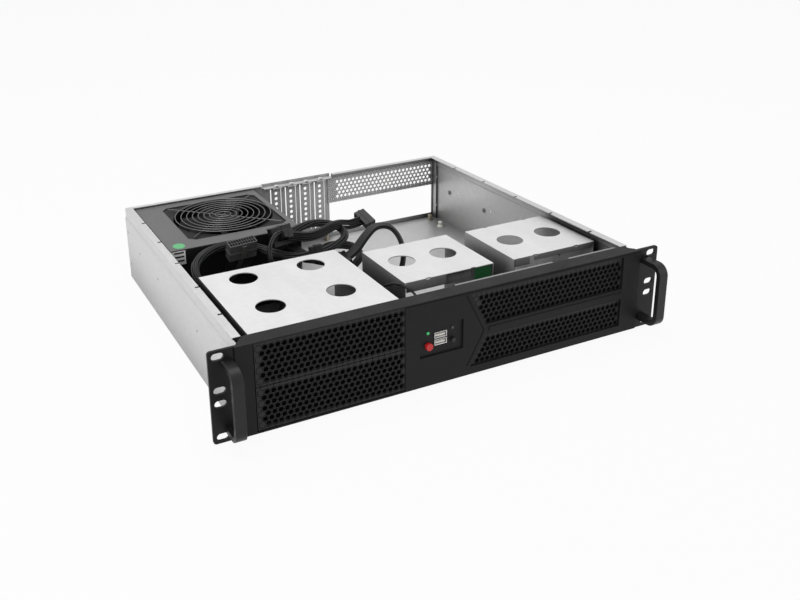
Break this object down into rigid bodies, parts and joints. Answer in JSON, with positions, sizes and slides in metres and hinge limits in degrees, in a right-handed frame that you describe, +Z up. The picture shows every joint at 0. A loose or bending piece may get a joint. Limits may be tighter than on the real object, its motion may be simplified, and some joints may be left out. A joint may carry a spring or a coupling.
{
  "type": "rackmount server case",
  "caption": "Open-topped 2U rackmount server case with front handles, perforated moulded front, drive cages, card slots and a fitted power supply with its cables.",
  "frame": {"origin": "on the underside, midway across the width and midway from the handles to the card bracket lip", "axes": "+X to the right seen from the front, +Y to the back, +Z up"},
  "size_m": [0.4826, 0.422, 0.1027],
  "materials": {
    "galvanised_steel": "satin zinc-coated sheet steel",
    "brass_posts": "plain turned",
    "black_painted_steel": "fine matt black powder coat",
    "black_handle": "satin black",
    "black_moulding": "fine-grained black moulding",
    "red_button": "gloss red",
    "black_button": "satin black",
    "green_light": "translucent green",
    "dark_light": "translucent dark red",
    "circuit_board": "green solder mask",
    "filter_foam": "open black foam",
    "switch_body": "black",
    "plated_steel": "bright plated",
    "port_plastic": "white insulator",
    "grey_painted_steel": "gunmetal grey powder coat",
    "heat_sink_aluminium": "plain extruded",
    "cable_sleeve": "soft black insulation",
    "plug_nylon": "moulded black nylon"
  },
  "bodies": {
    "chassis": {"chassis_tray": "galvanised_steel", "front_wall": "galvanised_steel", "rear_panel": "galvanised_steel", "rear_vent": "galvanised_steel", "card_bracket_clamp": "galvanised_steel", "slot_cover_1": "galvanised_steel", "slot_cover_2": "galvanised_steel", "slot_cover_3": "galvanised_steel", "slot_cover_4": "galvanised_steel", "optical_cage": "galvanised_steel", "drive_cage_middle": "galvanised_steel", "drive_cage_right": "galvanised_steel", "board_standoffs": "brass_posts", "left_ear": "black_painted_steel", "right_ear": "black_painted_steel", "front_mesh": "black_painted_steel", "supply_base": "black_painted_steel", "left_handle": "black_handle", "right_handle": "black_handle", "front_fascia": "black_moulding", "bay_cover_lower": "black_moulding", "bay_cover_upper": "black_moulding", "control_plate": "black_moulding", "fan_frame": "black_moulding", "mains_inlet": "black_moulding", "rocker_housing": "black_moulding", "cable_grommet": "black_moulding", "power_light": "green_light", "drive_light": "dark_light", "control_board": "circuit_board", "supply_board": "circuit_board", "drive_backplane": "circuit_board", "grille_filter": "filter_foam", "bay_filter_lower": "filter_foam", "bay_filter_upper": "filter_foam", "tact_switches": "switch_body", "port_shells": "plated_steel", "fan_guard": "plated_steel", "ear_screws": "plated_steel", "supply_screws": "plated_steel", "slot_screws": "plated_steel", "port_tongues": "port_plastic", "supply_cover": "grey_painted_steel", "supply_heat_sinks": "heat_sink_aluminium", "main_cable": "cable_sleeve", "cpu_cable": "cable_sleeve", "drive_cable": "cable_sleeve", "sata_cable": "cable_sleeve", "spare_cable": "cable_sleeve", "panel_cable": "cable_sleeve", "main_plug": "plug_nylon", "cpu_plug": "plug_nylon", "drive_plug": "plug_nylon", "sata_plug": "plug_nylon", "spare_plug": "plug_nylon", "panel_plug": "plug_nylon"},
    "power_button": {"power_button": "red_button"},
    "reset_button": {"reset_button": "black_button"},
    "supply_fan": {"fan_rotor": "black_moulding"},
    "mains_rocker": {"mains_rocker": "black_button"}
  },
  "joints": [
    {"name": "power_button_press", "type": "slide", "parent": "chassis", "child": "power_button", "axis": [0, 1, 0], "range_m": [0, 0.0015], "stiffness_N_per_m": 400},
    {"name": "reset_button_press", "type": "slide", "parent": "chassis", "child": "reset_button", "axis": [0, 1, 0], "range_m": [0, 0.0015], "stiffness_N_per_m": 400},
    {"name": "supply_fan_spin", "type": "hinge", "parent": "chassis", "child": "supply_fan", "pos_m": [-0.118, 0.129, 0.065], "axis": [0, 0, 1], "continuous": true},
    {"name": "mains_rocker_tip", "type": "hinge", "parent": "chassis", "child": "mains_rocker", "pos_m": [-0.086, 0.2025, 0.029], "axis": [1, 0, 0], "range_deg": [0, 20]}
  ]
}
